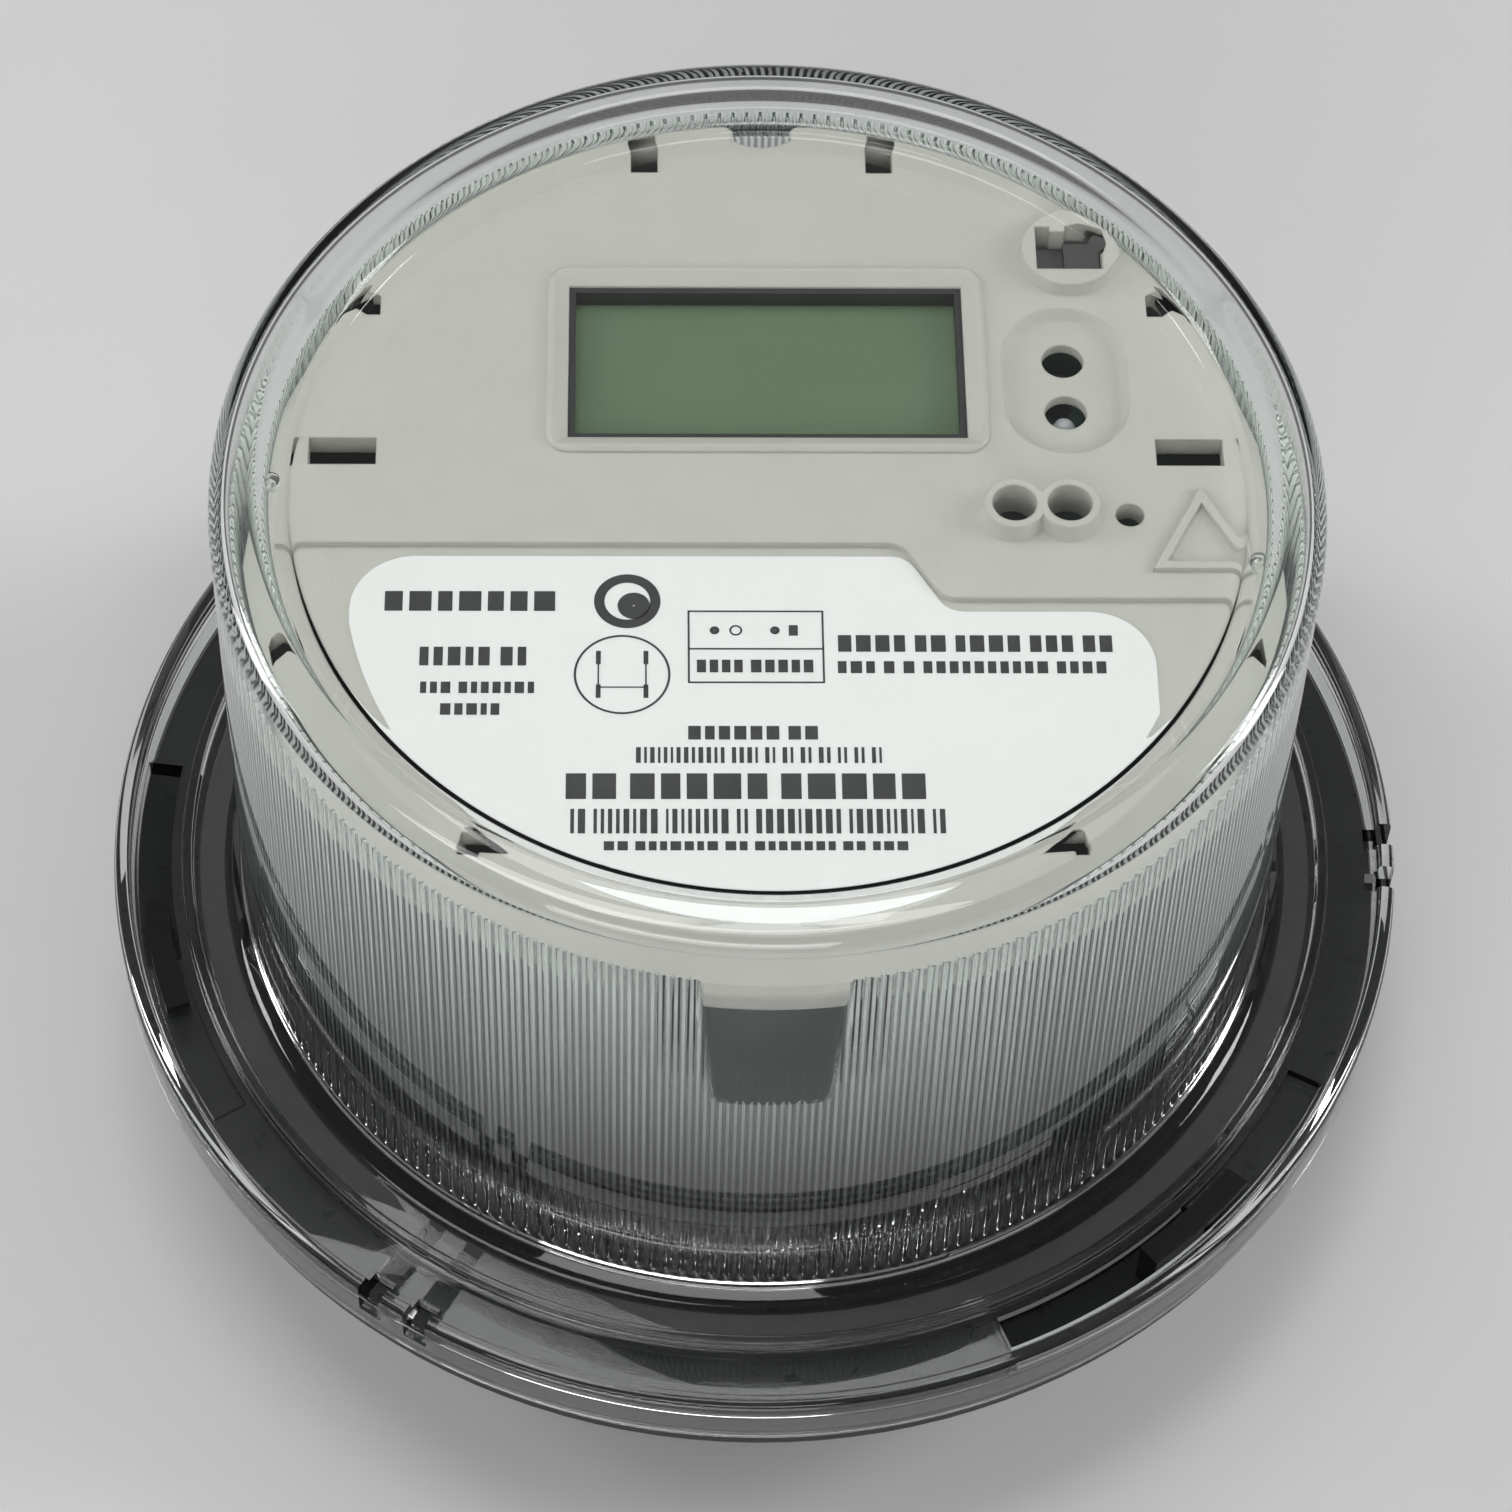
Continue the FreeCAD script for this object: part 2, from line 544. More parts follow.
def make_chassis():
    """Dark drum that carries the boards: a thin wall with an inner ledge and three screw bosses."""
    body = new_body("chassis_moulding")
    outline = sketch_on(body, "chassis_outline", "XZ_Plane")
    ledge_inner = chassis_inner - size.ledge_width
    ledge_low = board_under - size.ledge_height
    wall_top = cone_low - size.cone_wall_down - size.plate_clearance
    polygon(outline, [
        (chassis_inner, floor_top), (chassis_radius, floor_top), (chassis_radius, wall_top),
        (chassis_inner, wall_top), (chassis_inner, board_under), (ledge_inner, board_under),
        (ledge_inner, ledge_low), (chassis_inner, ledge_low)])
    revolve(body, outline)
    bosses, bores = [], []
    for turn, angle in enumerate(bayonet_angles(size.boss_start)):
        x, y = polar(size.boss_circle, angle)
        reach_x, reach_y = polar(chassis_inner + size.chassis_wall / 2 - size.boss_circle, angle)
        bosses.append(cylinder("boss_{}".format(turn), size.boss_radius, size.boss_height, x, y, floor_top))
        bosses.append(cylinder("boss_web_{}".format(turn), size.boss_radius / 2, size.boss_height,
                               x + reach_x - polar(size.boss_radius / 2, angle)[0],
                               y + reach_y - polar(size.boss_radius / 2, angle)[1], floor_top))
        bores.append(cylinder("bore_{}".format(turn), size.boss_pilot, size.boss_height + 2 * EPSILON, x, y,
                              floor_top - EPSILON))
    for turn, angle in enumerate(bayonet_angles(size.board_screw_start)):
        x, y = polar(board_radius - size.board_screw_inset, angle)
        bores.append(cylinder("ledge_bore_{}".format(turn), size.board_screw + size.screw_play,
                              size.ledge_height + 2 * EPSILON, x, y, ledge_low - EPSILON))
    return node(cut("chassis", fuse("chassis_body", body, *bosses), *bores), "inner_chassis")


def make_chassis_screws():
    """Pan-head screws that hold the chassis down from the back of the base."""
    screws = []
    for turn, angle in enumerate(bayonet_angles(size.boss_start)):
        x, y = polar(size.boss_circle, angle)
        shank = cylinder("shank_{}".format(turn), size.screw_shank, size.screw_length, x, y, back)
        head = cylinder("head_{}".format(turn), size.screw_head, size.screw_head_height, x, y, back)
        slots = enumerate(((size.screw_head, size.driver_width), (size.driver_width, size.screw_head)))
        cross = [centred_box("drive_{}_{}".format(turn, way), x, y, back - EPSILON, width, depth,
                             size.driver_depth) for way, (width, depth) in slots]
        screws.append(cut("screw_{}".format(turn), fuse("screw_body_{}".format(turn), shank, head), *cross))
    return node(group("base_screws", *screws), "chassis_screws")


def make_face_plate():
    """Light cap: cone edge and skirt, raised upper zone, display frame, bosses, slots and holes."""
    body = new_body("plate_moulding")
    outline = sketch_on(body, "plate_outline", "XZ_Plane")
    skirt_inner = chassis_radius + size.plate_clearance
    skirt_low = face - size.skirt_depth
    polygon(outline, [
        (0, plate_under), (plate_flat - size.cone_wall_in, plate_under),
        (skirt_inner, cone_low - size.cone_wall_down), (skirt_inner, skirt_low), (plate_radius, skirt_low),
        (plate_radius, cone_low), (plate_flat, face), (0, face)])
    revolve(body, outline)
    ease(body, size.shoulder_round, lambda edge: is_ring(edge, (plate_radius, cone_low)))
    zone = sketch_on(body, "upper_zone", lift=face)
    circle(zone, 0, 0, plate_flat)
    pad(body, zone, size.upper_step)
    lower = sketch_on(body, "lower_zone", lift=upper_face)
    step, low_step = -size.step_line_up, -size.step_low_up
    polygon(lower, [
        (-plate_radius, step), (size.step_turn_start, step), (size.step_turn_end, low_step),
        (plate_radius, low_step), (plate_radius, -plate_radius), (-plate_radius, -plate_radius)])
    pocket(body, lower, size.upper_step)
    ease(body, size.step_round, lambda edge: is_upright(edge, (size.step_turn_start, step),
                                                        (size.step_turn_end, low_step)))
    frame = sketch_on(body, "display_frame", lift=face)
    half_x = size.lcd_opening_width / 2 + size.lcd_frame_border
    half_y = size.lcd_opening_height / 2 + size.lcd_frame_border
    rectangle(frame, size.lcd_centre_x - half_x, size.lcd_centre_y - half_y,
              size.lcd_centre_x + half_x, size.lcd_centre_y + half_y)
    pad(body, frame, size.upper_step + size.lcd_frame_rise)
    corners = [(size.lcd_centre_x + half_x * a, size.lcd_centre_y + half_y * b)
               for a in LATERAL for b in LATERAL]
    ease(body, size.lcd_frame_round, lambda edge: is_upright(edge, *corners))
    frame_top = upper_face + size.lcd_frame_rise
    ease(body, size.lcd_frame_slope, lambda edge: all(abs(v.Point.z - number(frame_top)) < EPSILON
                                                      for v in edge.Vertexes), kind="Chamfer")
    opening = sketch_on(body, "display_opening", lift=frame_top)
    open_x, open_y = size.lcd_opening_width / 2, size.lcd_opening_height / 2
    rectangle(opening, size.lcd_centre_x - open_x, size.lcd_centre_y - open_y,
              size.lcd_centre_x + open_x, size.lcd_centre_y + open_y)
    pocket(body, opening, frame_top - plate_under)
    raised = [body, reset_boss(), raised_triangle()] + port_boss()
    return node(cut("plate", fuse("plate_raised", *raised), *face_openings()), "face_plate")


def reset_boss():
    """Tapered boss that runs down onto the plate's shoulder, hollow under the plate."""
    rise = upper_face + size.reset_boss_rise - cone_low
    boss = cone("reset_boss_solid", size.reset_boss_radius, size.reset_boss_top, rise, size.reset_x,
                size.reset_y, cone_low)
    room = cylinder("reset_boss_room", plate_flat + size.boss_room, plate_under - cone_low + OVERCUT,
                    z=cone_low - OVERCUT)
    return cut("reset_boss", boss, room)


def port_boss():
    """Figure of eight round the two windows of the optical port."""
    pieces = []
    for side in LATERAL:
        x = size.port_x + size.port_spread * side / 2
        pieces.append(cone("port_boss_{}".format(side + 1), size.port_base, size.port_top,
                           size.port_rise + size.upper_step, x, size.port_y, face))
    return pieces


def raised_triangle():
    """Plain moulded triangle, a raised outline."""
    body = new_body("triangle")
    outline = sketch_on(body, "triangle_outline", lift=upper_face - EPSILON)
    half = size.triangle_side / 2
    top = size.triangle_low + size.triangle_height
    polygon(outline, [(size.triangle_x - half, size.triangle_low),
                      (size.triangle_x + half, size.triangle_low), (size.triangle_x, top)])
    pad(body, outline, size.triangle_rise)
    inside = sketch_on(body, "triangle_inside", lift=upper_face + size.triangle_rise)
    line = size.triangle_line
    polygon(inside, [(size.triangle_x - half + size.triangle_corner_inset, size.triangle_low + line),
                     (size.triangle_x + half - size.triangle_corner_inset, size.triangle_low + line),
                     (size.triangle_x, top - size.triangle_top_inset)])
    pocket(body, inside, size.triangle_rise + OVERCUT)
    return body


def face_openings():
    """Everything that is cut through or into the face plate."""
    low, high = cone_low, upper_face + size.port_rise + OVERCUT
    cuts = []
    for side, word in zip(LATERAL, ("left", "right")):
        for name in ("top_slot", "upper_slot", "mid_slot", "low_slot"):
            inner, outer = getattr(size, name + "_in") * side, getattr(size, name + "_out") * side
            start, end = (outer, inner) if side < 0 else (inner, outer)
            cuts.append(box("{}_{}".format(name, word), (start, getattr(size, name + "_low"), low),
                            (end, getattr(size, name + "_high"), high)))
        x, y = polar(size.foot_slot_circle, -90 + size.foot_slot_angle * side)
        slot = centred_box("foot_slot_" + word, Size(0, "0"), Size(0, "0"), low, size.foot_slot_length,
                           size.foot_slot_width, high - low)
        turn = SIZES["foot_slot_turn"] * side
        cuts.append(lay(group("foot_slot_turned_" + word, slot), x, y, 0, Z_AXIS, turn))
        port = size.port_x + size.port_spread * side / 2
        cuts.append(cylinder("port_hole_" + word, size.port_hole, high - low, port, size.port_y, low))
        sensor = size.sensor_y + size.sensor_spread * side / 2
        cuts.append(cylinder("sensor_hole_" + word, size.sensor_hole, high - low, size.sensor_x, sensor, low))
    cuts.append(cylinder("test_hole", size.test_hole, high - low, size.test_x, size.test_y, low))
    notch_y = size.notch_twelve_low + size.notch_twelve
    cuts.append(cylinder("twelve_notch", size.notch_twelve, high - low + size.skirt_depth, 0, notch_y,
                         low - size.skirt_depth))
    cuts += sensor_recess() + [reset_opening(low, high), display_funnel()]
    return cuts


def tapered_block(name, x, y, low, height, low_half, high_half):
    """A block whose half width and half depth change from the bottom to the top."""
    wedge = doc.addObject("Part::Wedge", name)
    for prop, quantity in (("Xmin", -low_half[0]), ("Xmax", low_half[0]), ("X2min", -high_half[0]),
                           ("X2max", high_half[0]), ("Ymin", Size(0, "0")), ("Ymax", height),
                           ("Zmin", -low_half[1]), ("Zmax", low_half[1]), ("Z2min", -high_half[1]),
                           ("Z2max", high_half[1])):
        bind(wedge, prop, quantity)
    return lay(wedge, x, y, low, X_AXIS, 90)


def display_funnel():
    """Slopes that lead down from the ridge of the display frame to the opening."""
    half = (size.lcd_opening_width / 2, size.lcd_opening_height / 2)
    wide = (half[0] + size.lcd_funnel_width, half[1] + size.lcd_funnel_width)
    low, height = upper_face - size.lcd_funnel_drop, size.lcd_funnel_drop + size.lcd_frame_rise + EPSILON
    return tapered_block("display_funnel", size.lcd_centre_x, size.lcd_centre_y, low, height, half, wide)


def sensor_recess():
    """Stadium-shaped recess with sloped walls round the two indicator holes."""
    floor = upper_face - size.recess_depth
    low_radius = size.recess_width / 2
    high_radius = low_radius + size.recess_slope
    reach = (size.recess_length - size.recess_width) / 2
    pieces = [cone("recess_end_{}".format(side + 1), low_radius, high_radius, size.recess_depth + EPSILON,
                   size.sensor_x, size.sensor_y + reach * side, floor) for side in LATERAL]
    middle = tapered_block("recess_middle", size.sensor_x, size.sensor_y, floor, size.recess_depth + EPSILON,
                           (low_radius, reach), (high_radius, reach))
    return pieces + [middle]


def reset_opening(low, high):
    """Rectangular opening of the reset boss, with a small key on its upper edge."""
    hole = centred_box("reset_hole", size.reset_x, size.reset_y, low, size.reset_hole_width,
                       size.reset_hole_height, high - low)
    top = size.reset_y + size.reset_hole_height / 2
    key_x = size.reset_x - size.reset_key_shift
    key = box("reset_key", (key_x - size.reset_key_width / 2, top - size.reset_key_depth, low - OVERCUT),
              (key_x + size.reset_key_width / 2, top + OVERCUT, high + OVERCUT))
    return cut("reset_window", hole, key)


def make_label():
    """White printed sheet on the lower part of the plate."""
    body = new_body("label_sheet")
    disc = sketch_on(body, "label_disc", lift=face)
    circle(disc, 0, -size.label_drop, size.label_radius)
    pad(body, disc, size.label_thickness)
    off = sketch_on(body, "label_trim", lift=face + size.label_thickness)
    far = size.label_radius + size.label_drop + OVERCUT
    polygon(off, [
        (-far, far), (-far, -far), (-size.label_left, -far), (-size.label_left, -size.label_top),
        (size.label_turn_start, -size.label_top), (size.label_turn_end, -size.label_low_top),
        (size.label_right, -size.label_low_top), (size.label_right, -far), (far, -far), (far, far)])
    pocket(body, off, size.label_thickness)
    ease(body, size.label_turn_round, lambda edge: is_upright(edge, (size.label_turn_start, -size.label_top),
                                                              (size.label_turn_end, -size.label_low_top)))
    ease(body, size.label_round, lambda edge: is_upright(edge, (-size.label_left, -size.label_top),
                                                         (size.label_right, -size.label_low_top)))
    return node(body, "nameplate_label")


# ---------------------------------------------------------------- display

def make_display():
    """Liquid crystal glass under a black mask, over a light guide, in a holder, fed by two rubber strips."""
    x, y = size.lcd_centre_x, size.lcd_centre_y
    glass_low = glass_top - size.glass_thickness
    width = size.lcd_opening_width + 2 * size.glass_margin_x
    depth = size.lcd_opening_height + 2 * size.glass_margin_y
    node(centred_box("glass", x, y, glass_low, width, depth, size.glass_thickness), "lcd_glass")
    node(centred_box("guide", x, y, board_top, width - 2 * size.guide_inset, depth - 2 * size.guide_inset_y,
                     glass_low - size.guide_gap - board_top), "lcd_light_guide")
    strip_y = depth / 2 - size.strip_inset - size.strip_width / 2
    strips = [centred_box("strip_{}".format(side + 1), x, y + strip_y * side, board_top,
                          width - 2 * size.strip_end_inset, size.strip_width, glass_low - board_top)
              for side in LATERAL]
    node(group("strips", *strips), "lcd_contact_strips")
    inner_width, inner_depth = width + 2 * size.holder_gap, depth + 2 * size.holder_gap
    height = glass_top - size.holder_depth - board_top
    outer = centred_box("holder_outer", x, y, board_top, inner_width + 2 * size.holder_wall,
                        inner_depth + 2 * size.holder_wall, height)
    inner = centred_box("holder_inner", x, y, board_top - OVERCUT, inner_width, inner_depth,
                        height + 2 * OVERCUT)
    node(cut("holder", outer, inner), "lcd_holder")
    mask_width = size.lcd_opening_width - 2 * size.mask_gap
    mask_depth = size.lcd_opening_height - 2 * size.mask_gap
    mask_low = glass_top + size.mask_gap
    rise = upper_face - size.lcd_funnel_drop - size.mask_drop - mask_low
    frame = centred_box("mask_outer", x, y, mask_low, mask_width, mask_depth, rise)
    gap = centred_box("mask_inner", x, y, mask_low - OVERCUT, mask_width - 2 * size.mask_wall,
                      mask_depth - 2 * size.mask_wall, rise + 2 * OVERCUT)
    node(cut("mask", frame, gap), "lcd_mask")


# ---------------------------------------------------------------- main board and what stands on it

def lamp(name, x, y, height):
    """Round-topped lamp with a flange, standing on the main board."""
    stem = cylinder(name + "_stem", size.lamp_radius, height - size.lamp_radius, x, y, board_top)
    foot = cylinder(name + "_foot", size.lamp_flange, size.lamp_flange_height, x, y, board_top)
    dome = doc.addObject("Part::Sphere", name + "_dome")
    bind(dome, "Radius", size.lamp_radius)
    place(dome, x, y, board_top + height - size.lamp_radius)
    return node(fuse(name + "_lamp", stem, foot, dome), name)


def make_main_board():
    """Round green board on the chassis ledge, its screws, chips and lamps."""
    holes, screws = [], []
    for turn, angle in enumerate(bayonet_angles(size.board_screw_start)):
        x, y = polar(board_radius - size.board_screw_inset, angle)
        holes.append(cylinder("board_hole_{}".format(turn), size.board_screw + size.screw_play,
                              size.board_thickness + 2 * EPSILON, x, y, board_under - EPSILON))
        shank = cylinder("board_shank_{}".format(turn), size.board_screw, size.board_screw_length, x, y,
                         board_top - size.board_screw_length)
        head = cylinder("board_head_{}".format(turn), size.board_screw_head, size.board_screw_head_height,
                        x, y, board_top)
        screws.append(fuse("board_screw_{}".format(turn), shank, head))
    disc = cylinder("board_disc", board_radius, size.board_thickness, z=board_under)
    node(cut("board", disc, *holes), "main_board")
    node(group("board_screw_set", *screws), "main_board_screws")
    node(centred_box("processor", size.chip_wide_x, size.chip_wide_y, board_top, size.chip_wide,
                     size.chip_wide, size.chip_height), "processor_chip")
    node(centred_box("metering", size.chip_small_x, size.chip_small_y, board_top, size.chip_small,
                     size.chip_small, size.chip_height), "metering_chip")
    half = size.port_spread / 2
    lamp("port_emitter", size.port_x - half, size.port_y, size.port_lamp_height)
    lamp("port_receiver", size.port_x + half, size.port_y, size.port_lamp_height)
    lamp("test_lamp", size.test_x, size.test_y, size.port_lamp_height)
    lamp("status_lamp", size.sensor_x, size.sensor_y - size.sensor_spread / 2, size.port_lamp_height)
    lamp("light_receiver", size.sensor_x, size.sensor_y + size.sensor_spread / 2, size.lamp_height)


def make_reset_button():
    """Plunger in the boss, with a lip, a stem and a return spring, and the switch that it presses."""
    half_x = size.reset_hole_width / 2 - size.cap_play
    half_y = size.reset_hole_height / 2 - size.cap_play
    top = upper_face + size.reset_boss_rise - size.cap_recess
    low = top - size.cap_height
    lip_top = plate_under - size.cap_lip_gap
    key_clear = size.reset_key_depth
    cap = box("cap", (size.reset_x - half_x, size.reset_y - half_y, low),
              (size.reset_x + half_x, size.reset_y + half_y - key_clear, top))
    step_x, step_y = size.reset_x - half_x, half_y + OVERCUT
    step = box("cap_step", (step_x - OVERCUT, size.reset_y - step_y, top - size.cap_step),
               (step_x + size.cap_step_width, size.reset_y + step_y, top + OVERCUT))
    lip = box("cap_lip", (size.reset_x - half_x - size.cap_lip, size.reset_y - half_y - size.cap_lip,
                          lip_top - size.cap_lip_height),
              (size.reset_x + half_x, size.reset_y + half_y - key_clear, lip_top))
    stem = cylinder("stem", size.stem_radius, size.stem_length + EPSILON, size.stem_x, size.stem_y,
                    low - size.stem_length)
    node(fuse("plunger", cut("stepped_cap", cap, step), lip, stem), "reset_button")
    switch_top = board_top + size.switch_height
    case = centred_box("switch_case", size.stem_x, size.stem_y, board_top, size.switch_width,
                       size.switch_width, size.switch_height)
    dome = cylinder("switch_dome", size.switch_dome, size.switch_dome_height + EPSILON, size.stem_x,
                    size.stem_y, switch_top - EPSILON)
    node(fuse("switch", case, dome), "reset_switch")
    make_reset_spring(switch_top, low)


def helix_point(radius, pitch, turn):
    angle = 2 * math.pi * turn
    return FreeCAD.Vector(radius * math.cos(angle), radius * math.sin(angle), pitch * turn)


def make_reset_spring(start, end):
    """Coil spring round the stem, from the switch case to the underside of the cap."""
    wire = size.spring_wire
    length = number(end - start - 2 * wire - 2 * size.spring_gap)
    radius, wire_radius = number(size.spring_radius), number(wire)
    turns = SIZES["spring_turns"]
    line = Part.BSplineCurve()
    line.interpolate([helix_point(radius, length / turns, step / COIL_STEPS)
                      for step in range(turns * COIL_STEPS + 1)])
    along = line.tangent(line.FirstParameter)[0]
    section = Part.Wire(Part.Circle(line.StartPoint, along, wire_radius).toShape())
    spring = doc.addObject("Part::Feature", "return_spring")
    spring.Shape = Part.Wire(line.toShape()).makePipeShell([section], True, True)
    low = number(start + wire + size.spring_gap)
    spring.Placement = FreeCAD.Placement(FreeCAD.Vector(number(size.stem_x), number(size.stem_y), low),
                                         FreeCAD.Rotation())
    return node(spring, "reset_spring")


# ---------------------------------------------------------------- blades, bars and current sensor

def make_blades():
    """Four tinned blades through the base, their cotter pins, the two bars that join them, and the rivets."""
    pins, rivets = [], []
    for side_x, word_x in zip(LATERAL, ("left", "right")):
        for side_y, word_y in zip(LATERAL, ("load", "line")):
            word = "{}_{}".format(word_y, word_x)
            x, y = size.blade_across * side_x, size.blade_up * side_y
            make_blade(word, x, y)
            pins.append(lay(cylinder("cotter_" + word, size.cotter_radius, size.cotter_length),
                            x - size.cotter_length / 2, y, back - size.cotter_drop, Y_AXIS, 90))
            rivets.append(make_rivet(word, x, y, side_x))
    node(group("cotters", *pins), "cotter_pins")
    node(group("rivet_set", *rivets), "bar_rivets")


def make_blade(word, x, y):
    body = new_body("bare_blade_" + word)
    outline = sketch_on(body, "blade_outline_" + word, "YZ_Plane", lift=x - size.blade_thickness / 2)
    half, low, high = size.blade_width / 2, back - size.blade_length, back + size.blade_rise
    tip, neck = size.blade_tip, size.bar_leg / 2
    polygon(outline, [
        (y - half + tip, low), (y + half - tip, low), (y + half, low + tip), (y + half, floor_top),
        (y + neck, floor_top), (y + neck, high), (y - neck, high), (y - neck, floor_top),
        (y - half, floor_top), (y - half, low + tip)])
    pad(body, outline, size.blade_thickness)
    holes = []
    for name, radius, z in (("pin", size.cotter_radius + size.cotter_play, back - size.cotter_drop),
                            ("rivet", size.rivet_radius, floor_top + size.rivet_lift)):
        hole = cylinder("{}_hole_{}".format(name, word), radius, size.blade_thickness + 2 * OVERCUT)
        holes.append(lay(hole, x - size.blade_thickness / 2 - OVERCUT, y, z, Y_AXIS, 90))
    return node(cut("drilled_blade_" + word, body, *holes), "blade_" + word)


def make_rivet(word, x, y, side):
    """Rivet through a blade and the bar on the blade's inner face."""
    grip = size.blade_thickness + size.bar_thickness
    start = x - size.blade_thickness / 2 if side < 0 else x - size.blade_thickness / 2 - size.bar_thickness
    z = floor_top + size.rivet_lift
    shank = lay(cylinder("rivet_shank_" + word, size.rivet_radius - size.rivet_play,
                         grip + 2 * size.rivet_head_height), start - size.rivet_head_height, y, z, Y_AXIS, 90)
    heads = [lay(cylinder("rivet_{}_{}".format(end, word), size.rivet_head, size.rivet_head_height),
                 place_x, y, z, Y_AXIS, 90)
             for end, place_x in (("head", start - size.rivet_head_height), ("tail", start + grip))]
    return fuse("rivet_" + word, shank, *heads)


def make_bar(name, label, side, rise):
    """Copper bar like an upturned U that stands on edge beside two blades and bridges them."""
    body = new_body(name)
    inner_face = size.blade_across * side - size.blade_thickness / 2 * side
    start = inner_face if side < 0 else inner_face - size.bar_thickness
    outline = sketch_on(body, name + "_outline", "YZ_Plane", lift=start)
    outer, inner = size.blade_up + size.bar_leg / 2, size.blade_up - size.bar_leg / 2
    low, top = floor_top + size.bar_lift, floor_top + rise
    polygon(outline, [
        (-outer, low), (-inner, low), (-inner, top - size.bar_height), (inner, top - size.bar_height),
        (inner, low), (outer, low), (outer, top), (-outer, top)])
    pad(body, outline, size.bar_thickness)
    length, z = size.bar_thickness + 2 * OVERCUT, floor_top + size.rivet_lift
    holes = [lay(cylinder("{}_hole_{}".format(name, way + 1), size.rivet_radius, length),
                 start - OVERCUT, size.blade_up * way, z, Y_AXIS, 90) for way in LATERAL]
    return node(cut("drilled_" + name, body, *holes), label)


def y_ring(name, outer, inner, length, x, z):
    """A ring whose axis runs along Y."""
    pieces = [lay(cylinder("{}_{}".format(name, word), radius, span), x, span / 2, z, X_AXIS, 90)
              for word, radius, span in (("disc", outer, length), ("bore", inner, length + 2 * OVERCUT))]
    return cut(name, *pieces)


def make_current_sensor():
    """Wound core in a plastic case, threaded on the left bar."""
    x = -size.blade_across + size.blade_thickness / 2 + size.bar_thickness / 2
    z = floor_top + size.left_bar_rise - size.bar_height / 2
    node(y_ring("core_ring", size.sensor_core_outer, size.sensor_core_inner, size.sensor_core_length, x, z),
         "sensor_core")
    case = y_ring("case_ring", size.sensor_case_outer, size.sensor_case_inner, size.sensor_case_length, x, z)
    room = y_ring("case_room", size.sensor_core_outer + size.holder_gap,
                  size.sensor_core_inner - size.holder_gap, size.sensor_core_length + 2 * size.holder_gap, x, z)
    node(cut("case", case, room), "sensor_case")


# ---------------------------------------------------------------- power board and radio board

def make_power_board():
    """Lower board on four pillars, with the transformer, capacitors, surge discs and choke of the supply."""
    corners = [(size.pillar_x * a, size.pillar_y * b) for a in LATERAL for b in LATERAL]
    node(centred_box("power", Size(0, "0"), Size(0, "0"), power_under, size.power_board_width,
                     size.power_board_height, size.board_thickness), "power_board")
    node(group("pillars", *[cylinder("pillar_{}".format(i), size.pillar_radius, power_under - floor_top, x, y,
                                     floor_top) for i, (x, y) in enumerate(corners)]), "power_board_pillars")
    make_transformer()
    node(rounded_can("can", size.can_x, size.can_y, size.can_radius, size.can_height), "supply_capacitor")
    node(rounded_can("backup", size.backup_x, size.backup_y, size.backup_radius, size.backup_height),
         "backup_capacitor")
    discs = [lay(cylinder("surge_{}".format(i + 1), size.disc_radius, size.disc_thickness),
                 size.disc_x - size.disc_thickness / 2 + size.disc_spacing / 2 * i, size.disc_y,
                 power_top + size.disc_radius, Y_AXIS, 90) for i in LATERAL]
    node(group("surge_discs", *discs), "surge_varistors")
    node(ring("choke", size.choke_outer, size.choke_inner, power_top, size.choke_height, size.choke_x,
              size.choke_y), "filter_choke")


def rounded_can(name, x, y, radius, height):
    """Upright can with a rounded top edge."""
    body = new_body(name)
    outline = sketch_on(body, name + "_outline", lift=power_top)
    circle(outline, x, y, radius)
    pad(body, outline, height)
    top = power_top + height
    ease(body, size.part_round, lambda edge: isinstance(edge.Curve, Part.Circle)
         and abs(edge.Curve.Center.z - number(top)) < EPSILON)
    return body


def make_transformer():
    """Laminated core with two windows, and the winding round its middle leg."""
    x, y = size.transformer_x, size.transformer_y
    width, leg, height = size.core_width, size.core_leg, size.core_height
    core = centred_box("core_block", x, y, power_top, width, size.core_depth, height)
    window_width = (width - 3 * leg) / 2
    windows = [centred_box("core_window_{}".format(side + 1), x + (window_width + leg) / 2 * side, y,
                           power_top + leg, window_width, size.core_depth + 2 * OVERCUT, height - 2 * leg)
               for side in LATERAL]
    node(cut("transformer_core", core, *windows), "transformer_core")
    gap = size.winding_gap
    coil_height = height - 2 * leg - 2 * gap
    coil = centred_box("coil_block", x, y, power_top + leg + gap, width - 2 * leg - 2 * gap,
                       size.winding_depth, coil_height)
    bore = centred_box("coil_bore", x, y, power_top + leg, leg + 2 * gap, size.core_depth + 2 * gap,
                       height - 2 * leg)
    node(cut("transformer_coil", coil, bore), "transformer_winding")


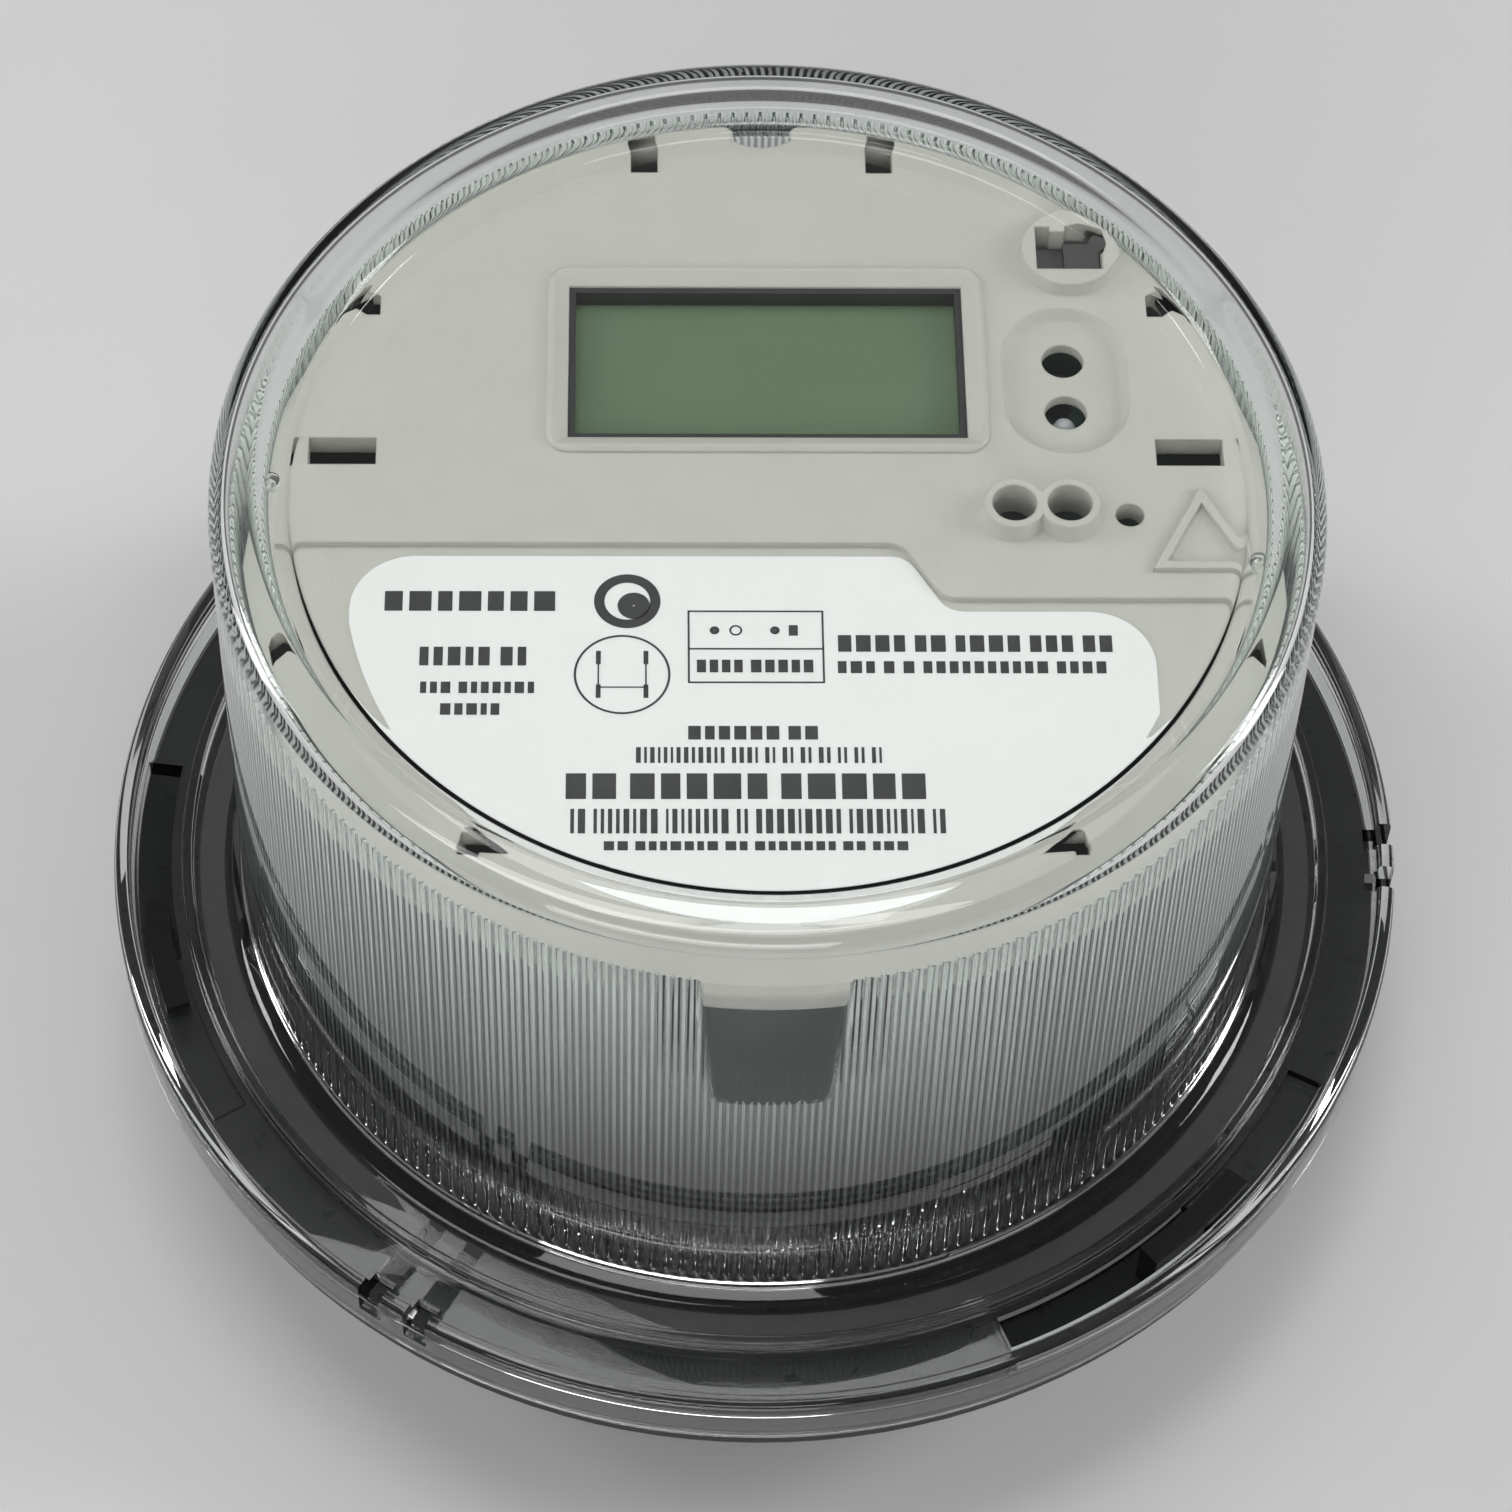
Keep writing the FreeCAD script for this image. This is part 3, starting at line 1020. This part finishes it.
def make_radio_board():
    """Radio board on four pillars above the power board, with its shield can and folded antenna."""
    width, depth, y = size.radio_board_width, size.radio_board_height, size.radio_board_y
    board = centred_box("radio", Size(0, "0"), y, radio_under, width, depth, size.board_thickness)
    node(board, "radio_board")
    reach_x, reach_y = width / 2 - size.radio_pillar_inset, depth / 2 - size.radio_pillar_inset
    pillars = [cylinder("radio_pillar_{}_{}".format(a + 1, b + 1), size.radio_pillar_radius,
                        radio_under - power_top, reach_x * a, y + reach_y * b, power_top)
               for a in LATERAL for b in LATERAL]
    node(group("radio_pillars", *pillars), "radio_board_pillars")
    node(centred_box("shield", size.shield_x, y, radio_top, size.shield_width, size.shield_height,
                     size.shield_rise), "radio_shield")
    sheet, rise = size.antenna_sheet, size.antenna_rise
    plate = centred_box("antenna_plate", size.antenna_x, y, radio_top + rise, size.antenna_width,
                        size.antenna_height, sheet)
    legs = [box("antenna_leg_{}".format(side + 1),
                (size.antenna_x + (size.antenna_width / 2 - sheet / 2) * side - sheet / 2,
                 y - size.antenna_leg / 2, radio_top),
                (size.antenna_x + (size.antenna_width / 2 - sheet / 2) * side + sheet / 2,
                 y + size.antenna_leg / 2, radio_top + rise + EPSILON)) for side in LATERAL]
    node(fuse("antenna_sheet_metal", plate, *legs), "radio_antenna")


def make_headers():
    """Pin headers that join the boards."""
    node(centred_box("tall_header", size.tall_header_x, size.tall_header_y, power_top, size.tall_header_width,
                     size.tall_header_length, board_under - power_top), "main_board_header")
    node(centred_box("short_header", Size(0, "0"), size.short_header_y, power_top, size.short_header_length,
                     size.short_header_width, radio_under - power_top), "radio_board_header")


# ---------------------------------------------------------------- leads

def lead(name, points, radius):
    """Insulated wire along straight runs, joined by tangent arcs that take a share of the shorter run."""
    corners = [FreeCAD.Vector(*[number(v) for v in point]) for point in points]
    edges, start, radii = [], corners[0], []
    for before, corner, after in zip(corners, corners[1:], corners[2:]):
        into, out = (corner - before), (after - corner)
        turn = into.getAngle(out)
        reach = BEND_SHARE * min(into.Length, out.Length)
        radii.append(reach / math.tan(turn / 2))
        into.normalize()
        out.normalize()
        first, last = corner - into * reach, corner + out * reach
        towards = out - into
        towards.normalize()
        centre = corner + towards * (radii[-1] / math.cos(turn / 2))
        middle = centre - towards * radii[-1]
        edges.append(Part.LineSegment(start, first).toShape())
        edges.append(Part.Arc(first, middle, last).toShape())
        start = last
    edges.append(Part.LineSegment(start, corners[-1]).toShape())
    path = Part.Wire(edges)
    section = Part.Wire(Part.Circle(corners[0], corners[1] - corners[0], number(radius)).toShape())
    wire = doc.addObject("Part::Feature", name)
    wire.Shape = path.makePipeShell([section], True, True)
    filled = math.pi * number(radius) ** 2 * path.Length
    ratio = round(wire.Shape.Volume / filled, 4)
    print(name, "bend radii", [round(r, 2) for r in radii], "volume ratio", ratio)
    return wire


def make_leads():
    """Voltage leads from the bars up to the power board, and the two leads of the current sensor."""
    half_bar = size.bar_thickness / 2
    for side, word, rise in zip(LATERAL, ("left", "right"), (size.left_bar_rise, size.right_bar_rise)):
        x = (size.blade_across - size.blade_thickness / 2 - half_bar) * side
        top = floor_top + rise
        inward = x - size.lead_clear * 2 * side
        middle = (top + power_under) / 2
        route = [(x, size.lead_up, top), (x, size.lead_up, middle),
                 (inward, size.lead_up, middle + size.lead_clear / 2), (inward, size.lead_up, power_under)]
        node(lead("lead_" + word, route, size.lead_radius), "voltage_lead_" + word)
    x = -size.blade_across + size.blade_thickness / 2 + half_bar
    middle = floor_top + size.left_bar_rise - size.bar_height / 2
    side_step = number(size.lead_clear - size.lead_radius)
    start = number(middle) + math.sqrt(number(size.sensor_case_outer) ** 2 - side_step ** 2)
    pair = [lead("sensor_wire_{}".format(side + 1), [(x + size.lead_clear * side, 0, level)
                                                     for level in (start, power_under)], size.lead_radius)
            for side in LATERAL]
    node(group("sensor_wires", *pair), "sensor_leads")


# ---------------------------------------------------------------- the whole meter

def make_meter():
    make_meter_base()
    make_gasket()
    make_cover()
    make_chassis()
    make_chassis_screws()
    make_face_plate()
    make_label()
    make_display()
    make_main_board()
    make_reset_button()
    make_blades()
    make_bar("left_bar", "left_current_bar", -1, size.left_bar_rise)
    make_bar("right_bar", "right_bus_bar", 1, size.right_bar_rise)
    make_current_sensor()
    make_power_board()
    make_radio_board()
    make_headers()
    make_leads()


def check_model():
    """Stop if an object failed, a sub-part has no sound shape, or a pocket cut nothing."""
    failed = [thing.Name for thing in doc.Objects if {"Invalid", "Error"} & set(thing.State)]
    unsound = [thing.Label for thing in nodes if thing.Shape.isNull() or not thing.Shape.isValid()
               or not thing.Shape.Solids]
    idle = [thing.Name for thing in doc.Objects if thing.TypeId == "PartDesign::Pocket"
            and thing.Shape.Volume > thing.BaseFeature.Shape.Volume - EPSILON]
    if failed or unsound or idle:
        raise SystemExit("failed {} unsound {} idle pockets {}".format(failed, unsound, idle))


def write_parts():
    os.makedirs("parts", exist_ok=True)
    for thing in nodes:
        thing.Shape.exportStep("parts/{}.step".format(thing.Label))
    print(len(nodes), "sub-parts written")


make_meter()
doc.recompute()
check_model()
write_parts()
